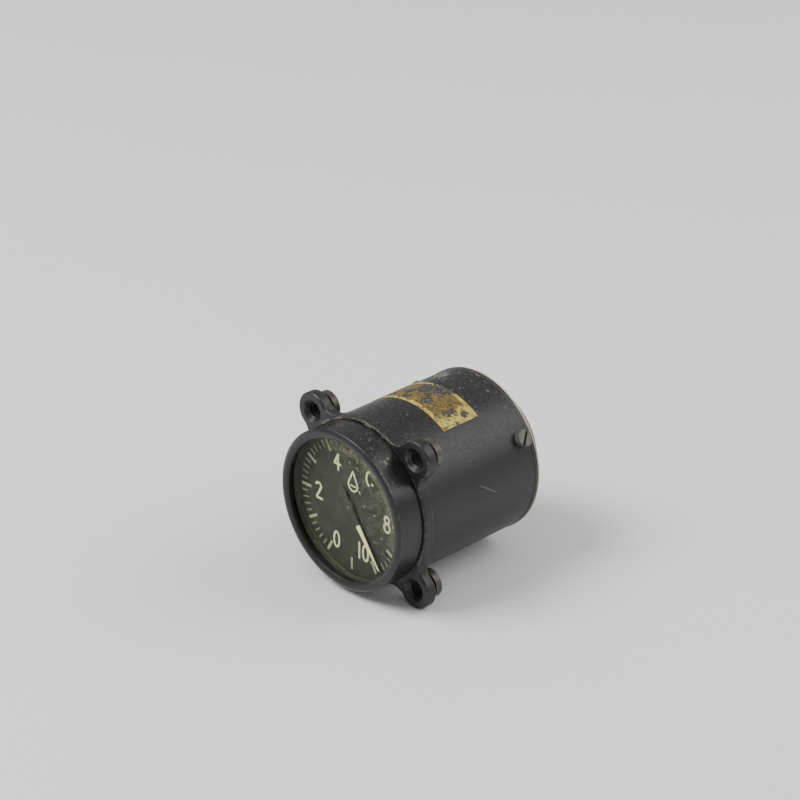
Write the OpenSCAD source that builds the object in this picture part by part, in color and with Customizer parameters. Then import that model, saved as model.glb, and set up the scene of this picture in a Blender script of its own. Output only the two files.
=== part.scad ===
// Panel-mounted electric fuel gauge for an aircraft, small round case with four lugs.
// Millimetres. The origin is on the gauge's axis, in the plane of the lugs' front faces.
// +Y runs rearwards along the axis, +X to the right of someone reading the dial, +Z up.
// Clock angles are in degrees, clockwise from the top, as seen from the front.

/* [Bezel and window] */
// Outside diameter of the bezel ring, which the panel hole clears
bezel_d = 59; // [58:0.5:60]
// Distance from the lugs' front faces to the front of the bezel
bezel_depth = 11; // [10.5:0.5:14]
// Wall of the bezel's skirt
bezel_wall = 1.2; // [0.9:0.1:1.4]
// Width of the bezel's face, from its outer edge in to the opening
face_w = 3.3; // [2.8:0.1:4]
// Radius of the bezel's domed front face
nose_r = 2.3; // [2.1:0.1:3]
// Depth of the bezel's lip in front of the gasket
lip_t = 1.5; // [1.3:0.1:2]
// Thickness of the gasket in front of the glass
gasket_t = 0.5; // [0.3:0.1:0.8]
// Thickness of the cover glass
glass_t = 1.8; // [1.5:0.1:2.2]
// Gap that the spacer ring keeps between the glass and the dial
dial_gap = 2; // [1.8:0.1:2.6]
// Radial width of the spacer ring
spacer_w = 1.2; // [0.8:0.1:1.8]
// Radial width of the gasket
gasket_w = 1.8; // [1:0.1:1.9]

/* [Dial] */
// Thickness of the dial plate
dial_t = 0.8; // [0.6:0.1:1]
// Diameter of the hole that the pointer's shaft comes through
dial_hole_d = 3.2; // [2.4:0.1:4]
// Number of numbered divisions on the scale
divisions = 10; // [4:1:12]
// Number of small divisions in each numbered one
subdivisions = 5; // [2:1:5]
// Angle that the whole scale covers
scale_sweep = 302; // [240:1:320]
// Distance from the spacer ring's bore in to the outer ends of all marks
mark_inset = 2.2; // [0.8:0.1:3]
// Length of a numbered division's mark
major_l = 4.6; // [3:0.1:6]
// Width of a numbered division's mark
major_w = 1; // [0.6:0.1:1.4]
// Length of a small division's mark
minor_l = 2.7; // [1.5:0.1:4]
// Width of a small division's mark
minor_w = 0.55; // [0.3:0.05:0.8]
// Thickness of the paint of the marks
mark_t = 0.12; // [0.05:0.01:0.2]

/* [Pointer] */
// Clock angle at which the pointer stands
pointer_angle = 143; // [0:1:359]
// Distance by which the pointer's tip stops short of the marks' outer ends
tip_inset = 0.8; // [0:0.1:4]
// Distance from the axis to the start of the luminous strip
lume_start = 7.1; // [5:0.1:9]
// Width of the luminous strip at its blunt end
lume_w = 2.2; // [1.2:0.1:3]
// Width of the luminous strip at the tip
lume_tip_w = 0.6; // [0.3:0.1:1]
// Thickness of the luminous strip
lume_t = 0.15; // [0.1:0.05:0.2]
// Bare margin of the blade round the luminous strip
blade_margin = 0.25; // [0.1:0.05:0.5]
// Thickness of the pointer's blade
blade_t = 0.4; // [0.3:0.05:0.5]
// Length of the pointer's tail behind the axis
tail_l = 5.5; // [4:0.5:8]
// Diameter of the pointer's hub
hub_d = 4.4; // [3.6:0.1:5]
// Height of the pointer's hub
hub_h = 1.15; // [0.9:0.05:1.2]
// Gap between the dial and the hub
hub_gap = 0.35; // [0.2:0.05:0.45]

/* [Case] */
// Step from the bezel up to the outside of the case
case_step = 0.3; // [0:0.1:0.8]
// Wall of the case
case_wall = 1.6; // [1.2:0.1:2]
// Length of the case behind the lugs' front faces
case_l = 54.6; // [52:0.2:70]
// Distance by which the flange that joins the lugs stands out from the case
flange_proud = 0.9; // [0.8:0.1:1.6]
// Thickness of the flange and the lugs
flange_t = 4.2; // [3.8:0.1:5]
// Radius of the rounded edges of the flange and the lugs
flange_edge_r = 0.8; // [0.5:0.1:0.9]
// Wall of the neck that the bezel goes over
neck_wall = 2.4; // [1.6:0.1:2.8]
// Thickness of the shelf inside the case that carries the movement
shelf_t = 2; // [1.5:0.1:2.5]
// Width of shelf between its opening and the middle of the screws that hold the movement
shelf_w = 3.5; // [3:0.1:6]

/* [Lugs] */
// Gap between the case and the captive nuts, which sets neighbouring lug holes 50 mm apart
nut_gap = 0.355; // [0.155:0.1:1.555]
// Diameter of a lug's round end
lug_d = 13.9; // [13:0.1:15]
// Radius of the hollow curves that run from the lugs into the flange
lug_fillet_r = 6; // [4:0.5:8]
// Diameter of the dished recess in a lug's face
recess_d = 8.8; // [7:0.1:9.5]
// Depth of the dished recess
recess_depth = 1.5; // [1:0.1:1.6]
// Diameter of the screw's hole through the lug
lug_hole_d = 5.2; // [4.8:0.1:5.6]

/* [Captive nuts] */
// Diameter of the thread's core
nut_bore_d = 4.2; // [3.3:0.1:4.4]
// Diameter of the neck that is staked in the lug
nut_neck_d = 6.6; // [6.2:0.1:7.6]
// Diameter of the nut's flange
nut_flange_d = 10.4; // [9:0.1:11.5]
// Thickness of the nut's flange
nut_flange_t = 2.5; // [1.5:0.1:3]
// Gap between the lug and the nut's flange
nut_groove = 1.8; // [0.5:0.1:2.5]
// Thickness of lug left between the recess and the nut
nut_seat_t = 0.7; // [0.6:0.1:1]

/* [Rear cover] */
// Distance by which the cover's rim stands out from the case
rim_proud = 0.2; // [0:0.1:1]
// Thickness of the cover's plate and rim
rim_t = 1.7; // [1.4:0.1:2.4]
// Length of the cover's wall inside the case
cover_wall_l = 8; // [7.5:0.5:10]
// Thickness of the cover's wall
cover_wall = 2.6; // [2:0.1:3]
// Distance from the case's rear end to the cover screws
cover_screw_inset = 3.4; // [3.2:0.1:4]
// Clock angle of the first cover screw
cover_screw_angle = 60; // [30:5:90]
// Diameter of a cover screw's thread
cover_screw_d = 3.5; // [2.5:0.5:4]
// Diameter of a cover screw's head
cover_screw_head_d = 6; // [5:0.1:6.2]
// Height of a cover screw's head
cover_screw_head_h = 2.4; // [1.6:0.1:2.6]
// Turn of the first screw's slot away from the case's hoop direction
slot_turn = 39; // [0:1:180]

/* [Data label] */
// Distance from the lugs' front faces to the label
label_y = 22.4; // [12:0.2:26]
// Length of the label along the case
label_l = 16.5; // [10:0.5:20]
// Clock angle of the label's edge on the right-hand side
label_edge_angle = 34; // [10:1:50]
// Angle that the label covers
label_arc = 78; // [40:1:110]
// Thickness of the label
label_t = 0.12; // [0.05:0.01:0.2]

/* [Terminals] */
// Diameter of the terminal block
block_d = 41.2; // [36:0.2:44]
// Height of the terminal block behind the cover
block_h = 8.9; // [6:0.1:10]
// Diameter of the block's spigot through the cover
spigot_d = 27.8; // [24:0.2:28]
// Diameter of the circle that the terminal studs stand on
stud_circle_d = 17; // [15:0.5:18]
// Diameter of a terminal stud
stud_d = 4; // [3:0.5:4]
// Length of a stud behind the block
stud_l = 7; // [5.5:0.5:7.5]
// Size across the flats of a terminal nut
stud_nut_flats = 7; // [5.5:0.5:8]
// Thickness of a terminal nut
stud_nut_t = 3; // [2:0.1:3.4]
// Diameter of a terminal washer
washer_d = 9; // [7:0.5:10]
// Thickness of a terminal washer
washer_t = 0.8; // [0.5:0.1:1]

/* [Movement] */
// Gap between the movement's front bridge and the wall of the case
movement_gap = 2.6; // [1.8:0.1:5]
// Length of the magnet rotor
rotor_l = 8; // [6:0.5:10]
// Air gap between the rotor and the damping cup
rotor_gap = 1; // [0.6:0.1:1.5]
// Wall of the damping cup
cup_wall = 0.8; // [0.5:0.1:1]
// Radial width of the stator core
core_w = 5.5; // [4:0.1:5.6]
// Length of the stator core
core_l = 11; // [9:0.5:14]
// Thickness of the windings on the core
winding_t = 1.2; // [0.8:0.1:1.4]
// Thickness of the front and rear bridges
bridge_t = 2; // [1.5:0.1:2.5]
// Length of the spacers in front of the core
front_spacer_l = 6; // [4.5:0.5:8]
// Length of the spacers behind the core
rear_spacer_l = 7; // [5:0.5:8]
// Diameter of the spacers
tie_spacer_d = 5.6; // [4.5:0.1:5.6]
// Diameter of the tie bolts' threads
tie_bolt_d = 3; // [2:0.5:3]
// Diameter of the pointer shaft between its bearings
shaft_d = 1.5; // [1.2:0.1:2.5]
// Diameter of the shaft where it runs in the front jewel and carries the pointer
journal_d = 1; // [0.8:0.1:1.1]
// Diameter of the shaft's rear pivot
pivot_d = 0.8; // [0.6:0.1:1]
// Diameter of the two jewels
jewel_d = 3.2; // [2.6:0.1:4]

/* [Hidden] */

$fn = 96;
big = 200;
overshoot = 1;

// Clearances
thread_clearance = 0.1;
seat_clearance = 0.05;
running_clearance = 0.03;
insulation_t = 0.1;
screw_clearance = 0.1;
shaft_clearance = 0.4;
coil_clearance = 0.3;
end_shake = 0.1;

// Screw and rivet proportions
lugs = 4;
thirds = 3;
third_turn = 360 / thirds;
cheese_slot_w = 1;
cheese_slot_share = 0.45;
small_screw_d = 2.6;
small_head_d = 4.4;
small_head_h = 1.6;
small_slot_w = 0.7;
head_sink = 0.4;

// Bezel, window and dial, from front to rear
bezel_r = bezel_d / 2;
bezel_bore_r = bezel_r - bezel_wall;
neck_r = bezel_bore_r - thread_clearance;
opening_r = bezel_r - face_w;
bezel_front_y = -bezel_depth;
gasket_front_y = bezel_front_y + lip_t;
glass_front_y = gasket_front_y + gasket_t;
spacer_front_y = glass_front_y + glass_t;
dial_front_y = spacer_front_y + dial_gap;
dial_back_y = dial_front_y + dial_t;
nose_centre_r = (opening_r + bezel_r) / 2;
groove_depth = 0.3;
groove_r = bezel_r + thread_clearance;
bezel_back_y = groove_depth - seat_clearance;
skirt_chamfer = 0.6;
spacer_inner_r = neck_r - spacer_w;
gasket_inner_r = neck_r - gasket_w;

// Scale
scale_start = -scale_sweep / 2;
division_angle = scale_sweep / divisions;
mark_angle = division_angle / subdivisions;
park_angle = 180;
park_w = 0.8;
mark_outer_r = spacer_inner_r - mark_inset;

// Case
case_r = bezel_r + case_step;
cavity_r = case_r - case_wall;
neck_bore_r = neck_r - neck_wall;
groove_floor_t = 1.2;
shelf_back_y = groove_depth + groove_floor_t;
shelf_front_y = shelf_back_y - shelf_t;
flange_r = case_r + flange_proud;
lug_r = lug_d / 2;
lug_circle_r = case_r + nut_gap + nut_flange_d / 2;
lug_angle = 45;
nut_front_y = recess_depth + nut_seat_t;
nut_flange_y = flange_t + nut_groove;
// The hollow curves cut this much deeper than tangent, so that the surfaces cross cleanly
fillet_bite = 0.06;

// Rear cover and terminals
rim_r = case_r + rim_proud;
cover_wall_r = cavity_r - thread_clearance;
cover_bore_r = cover_wall_r - cover_wall;
cover_screw_y = case_l - cover_screw_inset;
spotface_depth = 0.15;
spotface_r = case_r - spotface_depth;
spotface_d = cover_screw_head_d + 2 * screw_clearance;
block_y = case_l + rim_t;
block_back_y = block_y + block_h;
block_edge_r = 1.5;
spigot_proud = 1.5;
spigot_l = rim_t + spigot_proud;
spigot_r = spigot_d / 2;
stud_circle_r = stud_circle_d / 2;
stud_head_t = 1.5;
stud_head_step = 1;
stud_head_r = stud_d / 2 + stud_head_step;
stud_front_y = block_y - spigot_l - stud_head_t;
terminal_angle = 90;
block_screw_circle_r = (spigot_r + block_d / 2) / 2;
block_screw_pocket = small_head_h + head_sink;

// Movement, from the wall of the case in to the rotor
bridge_r = cavity_r - movement_gap;
ear_margin = 0.3;
ear_r = tie_spacer_d / 2 + ear_margin;
tie_circle_r = bridge_r - ear_r;
shelf_hole_r = tie_circle_r - shelf_w;
coil_r = tie_circle_r - tie_spacer_d / 2 - coil_clearance;
core_r = coil_r - winding_t - insulation_t;
core_inner_r = core_r - core_w;
core_mid_r = core_inner_r + core_w / 2;
coil_inner_r = core_inner_r - insulation_t - winding_t;
cup_clearance = 1;
cup_r = coil_inner_r - cup_clearance;
rotor_r = cup_r - cup_wall - rotor_gap;
tie_angle = 30;

// Movement, from front to rear
front_bridge_y = shelf_back_y;
front_bridge_back_y = front_bridge_y + bridge_t;
core_front_y = front_bridge_back_y + front_spacer_l;
core_back_y = core_front_y + core_l;
rear_bridge_y = core_back_y + rear_spacer_l;
rear_bridge_back_y = rear_bridge_y + bridge_t;
coil_back_y = core_back_y + insulation_t + winding_t;
rotor_front_y = core_front_y + (core_l - rotor_l) / 2;
rotor_back_y = rotor_front_y + rotor_l;
cup_overlap = 1;
cup_front_y = rotor_front_y - cup_overlap;
cup_floor_t = 1;
jewel_lip = 0.6;
jewel_t = bridge_t - jewel_lip;
jewel_floor_t = 0.4;
shaft_hole_r = shaft_d / 2 + shaft_clearance;
shaft_front_y = front_bridge_y + jewel_t + end_shake;
rear_jewel_y = rear_bridge_y + jewel_lip;
pivot_depth = jewel_t - jewel_floor_t;
bush_wall = 1.9;
bush_r = shaft_d / 2 + bush_wall;
bush_proud = 1.2;
rear_hub_margin = 4.9;
rear_hub_r = jewel_d / 2 + rear_hub_margin;
arm_w = 7;
coil_gap_angle = 26;
coil_arc = third_turn - coil_gap_angle;
tie_head_h = 1.8;
lead_r = 0.6;
sleeve_r = 0.9;
sleeve_l = 3;
sleeve_grip = 0.6;
parking_w = 2;
parking_l = 7;
parking_r = cup_r;

// Pointer
pointer_l = mark_outer_r - tip_inset;
hub_back_y = dial_front_y - hub_gap;
hub_front_y = hub_back_y - hub_h;
blade_back_y = hub_back_y - (hub_h - blade_t) / 2;
blade_front_y = blade_back_y - blade_t;
tail_w = 2.4;
tail_r = 1.9;
boss_r = hub_d / 4;

// Colours as photographed
BLACK_PAINT = [0.16, 0.16, 0.17];
DIAL_BLACK = [0.21, 0.22, 0.2];
LUME = [0.82, 0.83, 0.62];
OLD_BRASS = [0.42, 0.38, 0.28];
STEEL = [0.5, 0.51, 0.49];
PHENOLIC = [0.36, 0.27, 0.17];
ALUMINIUM = [0.7, 0.7, 0.68];
COPPER = [0.66, 0.4, 0.26];
RUBBER = [0.1, 0.1, 0.1];
RUBY = [0.6, 0.1, 0.15];
LABEL_GOLD = [0.62, 0.5, 0.24];

// Stands a profile or solid made along +Z on the gauge's axis, starting at depth y
module on_axis(y) {
    translate([0, y, 0])
        rotate([-90, 0, 0])
            children();
}

// Puts a piece at a clock angle, with its +Z pointing away from the axis
module at_clock(angle, y = 0) {
    rotate([0, angle, 0])
        translate([0, y, 0])
            children();
}

// Angle about +Z, inside on_axis, of a clock angle
function about_axis(clock) = clock - 90;

// Repeats a piece three times round the axis
module in_thirds(first_angle) {
    for (i = [0 : thirds - 1])
        at_clock(first_angle + i * third_turn)
            children();
}

// Solid disc on the axis
module disc(radius, y, length) {
    on_axis(y)
        cylinder(r = radius, h = length);
}

// Flat ring on the axis
module ring(outer_r, inner_r, y, length) {
    difference() {
        disc(outer_r, y, length);
        disc(inner_r, y - overshoot, length + 2 * overshoot);
    }
}

// Disc parallel to the axis, away from it by a radius, at clock angle zero
module disc_at(circle_r, radius, y, length) {
    translate([0, 0, circle_r])
        disc(radius, y, length);
}

// Slotted cheese head with its underside at z = 0 and its shank below
module slotted_screw(thread_d, shank_l, head_d, head_h, slot_w, turn) {
    difference() {
        union() {
            cylinder(d = head_d, h = head_h);
            translate([0, 0, -shank_l])
                cylinder(d = thread_d, h = shank_l + head_h / 2);
        }
        rotate([0, 0, turn])
            translate([0, 0, head_h])
                cube([head_d + overshoot, slot_w, 2 * cheese_slot_share * head_h], center = true);
    }
}

// Bezel: a skirt over the neck, with a domed front face round the opening
module bezel_ring() {
    color(BLACK_PAINT)
        on_axis(0)
            rotate_extrude()
                difference() {
                    intersection() {
                        union() {
                            translate([nose_centre_r, bezel_front_y + nose_r])
                                circle(r = nose_r);
                            translate([nose_centre_r - nose_r, bezel_front_y + nose_r])
                                square([2 * nose_r, bezel_back_y - bezel_front_y - nose_r]);
                        }
                        translate([opening_r, bezel_front_y])
                            square([bezel_r - opening_r, bezel_back_y - bezel_front_y]);
                    }
                    translate([0, gasket_front_y])
                        square([bezel_bore_r, bezel_depth + overshoot]);
                    skirt_chamfer_cut();
                }
}

// Chamfer on the skirt's rear edge, so that its full radius ends in front of the lugs
module skirt_chamfer_cut() {
    translate([bezel_r - skirt_chamfer, bezel_back_y])
        polygon([
            [-overshoot, overshoot],
            [skirt_chamfer + overshoot, -skirt_chamfer - overshoot],
            [skirt_chamfer + overshoot, overshoot]
        ]);
}

module glass_gasket() {
    color(RUBBER)
        ring(neck_r, gasket_inner_r, gasket_front_y, gasket_t);
}

module cover_glass() {
    color([0.8, 0.86, 0.84, 0.35])
        disc(neck_r, glass_front_y, glass_t);
}

module spacer_ring() {
    color(BLACK_PAINT)
        ring(neck_r, spacer_inner_r, spacer_front_y, dial_gap);
}

module dial_plate() {
    color(DIAL_BLACK)
        ring(neck_r, dial_hole_d / 2, dial_front_y, dial_t);
}

// One painted bar of the scale, pointing at the axis
module scale_mark(length, width) {
    translate([-width / 2, dial_front_y - mark_t, mark_outer_r - length])
        cube([width, mark_t, length]);
}

// All marks of the scale, and the parking mark halfway between its ends
module scale_marks() {
    color(LUME) {
        for (i = [0 : divisions * subdivisions])
            at_clock(scale_start + i * mark_angle)
                if (i % subdivisions == 0)
                    scale_mark(major_l, major_w);
                else
                    scale_mark(minor_l, minor_w);
        at_clock(park_angle)
            scale_mark(major_l, park_w);
    }
}

// Distances in the triangle between the axis, a lug and the centre of a hollow curve
function fillet_reach() = flange_r + lug_fillet_r;
function fillet_angle() =
    acos((pow(lug_circle_r, 2) + pow(fillet_reach(), 2) - pow(lug_r + lug_fillet_r, 2))
        / (2 * lug_circle_r * fillet_reach()));

// Profile of a disc with rounded edges, from y = 0 to its thickness
module rounded_disc_profile(radius, thickness) {
    square([radius - flange_edge_r, thickness]);
    translate([0, flange_edge_r])
        square([radius, thickness - 2 * flange_edge_r]);
    translate([radius - flange_edge_r, flange_edge_r])
        circle(r = flange_edge_r);
    translate([radius - flange_edge_r, thickness - flange_edge_r])
        circle(r = flange_edge_r);
}

// Profile of the cutter for a hollow curve, flared so that the edge it leaves is rounded
module flared_profile(radius, thickness) {
    difference() {
        translate([0, -overshoot])
            square([radius + flange_edge_r, thickness + 2 * overshoot]);
        translate([radius, flange_edge_r])
            square([2 * flange_edge_r, thickness - 2 * flange_edge_r]);
        translate([radius + flange_edge_r, flange_edge_r])
            circle(r = flange_edge_r);
        translate([radius + flange_edge_r, thickness - flange_edge_r])
            circle(r = flange_edge_r);
    }
}

// Point at a distance from the axis, by its angle about +Z
function about_z(distance, angle) = distance * [cos(angle), sin(angle)];

// Web from the axis to one lug, bounded by its two hollow curves
module lug_web(angle) {
    reach = fillet_reach();
    half = fillet_angle();
    difference() {
        linear_extrude(flange_t)
            polygon([
                [0, 0],
                about_z(reach, angle + half),
                about_z(lug_circle_r, angle),
                about_z(reach, angle - half)
            ]);
        for (side = [-1, 1])
            translate(about_z(reach, angle + side * half))
                rotate_extrude()
                    flared_profile(lug_fillet_r + fillet_bite, flange_t);
    }
}

// Flange with four lugs, rounded along its outline, from z = 0 to its thickness. Nothing in it is
// rotated, so that the faces of its pieces lie exactly in one plane
module flange_plate() {
    rotate_extrude()
        rounded_disc_profile(flange_r, flange_t);
    for (i = [0 : lugs - 1]) {
        lug_web(lug_angle + i * 360 / lugs);
        translate(about_z(lug_circle_r, lug_angle + i * 360 / lugs))
            rotate_extrude()
                rounded_disc_profile(lug_r, flange_t);
    }
}

// Dished recess, screw hole and rear seat for the captive nut in one lug
module lug_hole() {
    on_axis(0) {
        translate([0, 0, -overshoot])
            cylinder(d = lug_hole_d, h = flange_t + 2 * overshoot);
        cylinder(d1 = recess_d, d2 = lug_hole_d, h = recess_depth);
        translate([0, 0, nut_front_y])
            cylinder(d = nut_neck_d + 2 * seat_clearance, h = flange_t);
    }
}

// Case: neck, flange with lugs, tube and inner shelf in one casting
module case_body() {
    color(BLACK_PAINT)
        difference() {
            union() {
                disc(neck_r, dial_back_y, flange_t / 2 - dial_back_y);
                on_axis(0)
                    flange_plate();
                disc(case_r, flange_t / 2, case_l - flange_t / 2);
            }
            disc(neck_bore_r, dial_back_y - overshoot, shelf_front_y - dial_back_y + overshoot);
            disc(shelf_hole_r, dial_back_y, case_l);
            disc(cavity_r, shelf_back_y, case_l);
            ring(groove_r, neck_r, -overshoot, groove_depth + overshoot);
            for (i = [0 : lugs - 1])
                at_clock(lug_angle + i * 360 / lugs)
                    translate([0, 0, lug_circle_r])
                        lug_hole();
            in_thirds(tie_angle + third_turn / 2)
                disc_at(tie_circle_r, small_screw_d / 2 + seat_clearance, shelf_front_y - overshoot,
                    shelf_t + 2 * overshoot);
            in_thirds(cover_screw_angle)
                translate([0, cover_screw_y, 0]) {
                    cylinder(d = cover_screw_d + 2 * screw_clearance, h = case_r + overshoot);
                    translate([0, 0, spotface_r])
                        cylinder(d = spotface_d, h = overshoot);
                }
        }
}

// Threaded bush with a flange, one behind each lug
module captive_nuts() {
    color(OLD_BRASS)
        for (i = [0 : lugs - 1])
            at_clock(lug_angle + i * 360 / lugs)
                translate([0, 0, lug_circle_r])
                    difference() {
                        union() {
                            disc(nut_neck_d / 2, nut_front_y, nut_flange_y - nut_front_y + nut_flange_t);
                            disc(nut_flange_d / 2, nut_flange_y, nut_flange_t);
                        }
                        disc(nut_bore_d / 2, 0, nut_flange_y + nut_flange_t + overshoot);
                    }
}

// Cover: a plate with a rim, and a wall that the radial screws bite in
module rear_cover() {
    color(ALUMINIUM)
        difference() {
            union() {
                disc(rim_r, case_l, rim_t);
                disc(cover_wall_r, case_l - cover_wall_l, cover_wall_l + rim_t / 2);
            }
            disc(cover_bore_r, case_l - cover_wall_l - overshoot, cover_wall_l + overshoot);
            disc(spigot_r + seat_clearance, case_l - overshoot, rim_t + 2 * overshoot);
            in_thirds(cover_screw_angle)
                translate([0, cover_screw_y, 0])
                    cylinder(d = cover_screw_d, h = case_r);
            in_thirds(tie_angle)
                disc_at(block_screw_circle_r, small_screw_d / 2, case_l - overshoot,
                    rim_t + 2 * overshoot);
        }
}

module cover_screws() {
    color(STEEL)
        for (i = [0 : thirds - 1])
            at_clock(cover_screw_angle + i * third_turn, cover_screw_y)
                translate([0, 0, spotface_r])
                    slotted_screw(cover_screw_d, spotface_r - cover_bore_r, cover_screw_head_d,
                        cover_screw_head_h, cheese_slot_w, -slot_turn * (i + 1));
}

// Thin foil label bent round the top of the case
module data_label() {
    color(LABEL_GOLD)
        on_axis(label_y)
            rotate([0, 0, about_axis(label_edge_angle - label_arc)])
                rotate_extrude(angle = label_arc)
                    translate([case_r, 0])
                        square([label_t, label_l]);
}

// Moulded block with a rounded rear edge, drilled for the studs and its screws
module terminal_block() {
    color(PHENOLIC)
        difference() {
            union() {
                on_axis(block_y)
                    rotate_extrude() {
                        square([block_d / 2, block_h - block_edge_r]);
                        square([block_d / 2 - block_edge_r, block_h]);
                        translate([block_d / 2 - block_edge_r, block_h - block_edge_r])
                            circle(r = block_edge_r);
                    }
                disc(spigot_r, block_y - spigot_l, spigot_l + block_h / 2);
            }
            in_thirds(terminal_angle)
                disc_at(stud_circle_r, stud_d / 2, block_y - spigot_l - overshoot,
                    spigot_l + block_h + 2 * overshoot);
            in_thirds(tie_angle) {
                disc_at(block_screw_circle_r, small_screw_d / 2 + screw_clearance,
                    block_y - overshoot, block_h + 2 * overshoot);
                disc_at(block_screw_circle_r, small_head_d / 2 + screw_clearance,
                    block_back_y - block_screw_pocket, block_screw_pocket + overshoot);
            }
        }
}

module block_screws() {
    color(STEEL)
        in_thirds(tie_angle)
            translate([0, 0, block_screw_circle_r])
                on_axis(block_back_y - block_screw_pocket)
                    slotted_screw(small_screw_d, block_h - block_screw_pocket + rim_t, small_head_d,
                        small_head_h, small_slot_w, slot_turn);
}

module terminal_studs() {
    color(OLD_BRASS)
        in_thirds(terminal_angle) {
            disc_at(stud_circle_r, stud_head_r, stud_front_y, stud_head_t);
            disc_at(stud_circle_r, stud_d / 2, stud_front_y, block_back_y + stud_l - stud_front_y);
        }
}

module terminal_washers() {
    color(OLD_BRASS)
        in_thirds(terminal_angle)
            translate([0, 0, stud_circle_r])
                ring(washer_d / 2, stud_d / 2 + seat_clearance, block_back_y, washer_t);
}

module terminal_nuts() {
    color(OLD_BRASS)
        in_thirds(terminal_angle)
            translate([0, 0, stud_circle_r])
                difference() {
                    on_axis(block_back_y + washer_t)
                        cylinder(d = stud_nut_flats / cos(30), h = stud_nut_t, $fn = 6);
                    disc(stud_d / 2, block_back_y, washer_t + stud_nut_t + overshoot);
                }
}

// Outline of the pointer from its blunt start to the tip, pointing at +Z
module pointer_outline(start, margin) {
    polygon([
        [-lume_w / 2 - margin, start],
        [-lume_tip_w / 2 - margin, pointer_l],
        [lume_tip_w / 2 + margin, pointer_l],
        [lume_w / 2 + margin, start]
    ]);
}

// Puts an outline drawn in X and Z flat between two depths
module flat_between(front_y, thickness) {
    translate([0, front_y + thickness, 0])
        rotate([90, 0, 0])
            linear_extrude(thickness)
                children();
}

module pointer_blade() {
    color(BLACK_PAINT)
        at_clock(pointer_angle)
            difference() {
                union() {
                    flat_between(blade_front_y, blade_t)
                        pointer_outline(0, blade_margin);
                    translate([-tail_w / 2, blade_front_y, -tail_l])
                        cube([tail_w, blade_t, tail_l + overshoot]);
                    translate([0, 0, -tail_l])
                        disc(tail_r, blade_front_y, blade_t);
                    disc(hub_d / 2, blade_front_y, blade_t);
                }
                disc(boss_r, blade_front_y - overshoot, blade_t + 2 * overshoot);
            }
}

module pointer_lume() {
    color(LUME)
        at_clock(pointer_angle)
            flat_between(blade_front_y - lume_t, lume_t)
                pointer_outline(lume_start, 0);
}

// Brass hub with a boss through the blade and a collar behind it
module pointer_hub() {
    color(BLACK_PAINT)
        difference() {
            union() {
                disc(boss_r, hub_front_y, hub_h);
                disc(hub_d / 2, blade_back_y, hub_back_y - blade_back_y);
                disc(hub_d / 2 - blade_margin, hub_front_y, blade_front_y - hub_front_y);
            }
            disc(journal_d / 2, hub_front_y - overshoot, hub_h + 2 * overshoot);
        }
}

module pointer_shaft() {
    color(STEEL) {
        disc(journal_d / 2, hub_front_y, shaft_front_y - hub_front_y);
        disc(shaft_d / 2, shaft_front_y, rear_jewel_y - end_shake - shaft_front_y);
        disc(pivot_d / 2, shaft_front_y, rear_jewel_y + pivot_depth - end_shake - shaft_front_y);
    }
}

module rotor_bush() {
    color(OLD_BRASS)
        ring(bush_r, shaft_d / 2, rotor_front_y - bush_proud, rotor_l + 2 * bush_proud);
}

module magnet_rotor() {
    color(STEEL)
        ring(rotor_r, bush_r, rotor_front_y, rotor_l);
}

module front_jewel() {
    color(RUBY)
        ring(jewel_d / 2, journal_d / 2 + running_clearance, front_bridge_y, jewel_t);
}

module rear_jewel() {
    color(RUBY)
        difference() {
            disc(jewel_d / 2, rear_jewel_y, jewel_t);
            disc(pivot_d / 2 + running_clearance, rear_jewel_y - overshoot, pivot_depth + overshoot);
        }
}

// Plate behind the shelf, with the front jewel's seat and threads for the screws and bolts
module front_bridge() {
    color(ALUMINIUM)
        difference() {
            disc(bridge_r, front_bridge_y, bridge_t);
            disc(jewel_d / 2, front_bridge_y - overshoot, jewel_t + overshoot);
            disc(shaft_hole_r, front_bridge_y, bridge_t + overshoot);
            in_thirds(tie_angle)
                disc_at(tie_circle_r, tie_bolt_d / 2, front_bridge_y - overshoot,
                    bridge_t + 2 * overshoot);
            in_thirds(tie_angle + third_turn / 2)
                disc_at(tie_circle_r, small_screw_d / 2, front_bridge_y - overshoot,
                    bridge_t + 2 * overshoot);
        }
}

module chassis_screws() {
    color(STEEL)
        in_thirds(tie_angle + third_turn / 2)
            translate([0, shelf_front_y, tie_circle_r])
                rotate([90, 0, 0])
                    slotted_screw(small_screw_d, shelf_t + bridge_t, small_head_d, small_head_h,
                        small_slot_w, slot_turn);
}

// Small bar magnet that draws the pointer to the parking mark when the current is off
module parking_magnet() {
    color(STEEL)
        at_clock(park_angle)
            translate([-parking_w / 2, front_bridge_back_y, parking_r])
                cube([parking_w, parking_w, parking_l]);
}

module tie_spacers(y, length) {
    color(ALUMINIUM)
        in_thirds(tie_angle)
            translate([0, 0, tie_circle_r])
                ring(tie_spacer_d / 2, tie_bolt_d / 2 + screw_clearance, y, length);
}

module front_spacers() {
    tie_spacers(front_bridge_back_y, front_spacer_l);
}

module rear_spacers() {
    tie_spacers(core_back_y, rear_spacer_l);
}

// Ring of laminations with three ears for the tie bolts
module stator_core() {
    color(STEEL)
        difference() {
            union() {
                disc(core_r, core_front_y, core_l);
                in_thirds(tie_angle) {
                    disc_at(tie_circle_r, ear_r, core_front_y, core_l);
                    translate([-ear_r, core_front_y, core_mid_r])
                        cube([2 * ear_r, core_l, tie_circle_r - core_mid_r]);
                }
            }
            disc(core_inner_r, core_front_y - overshoot, core_l + 2 * overshoot);
            in_thirds(tie_angle)
                disc_at(tie_circle_r, tie_bolt_d / 2 + screw_clearance, core_front_y - overshoot,
                    core_l + 2 * overshoot);
        }
}

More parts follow.
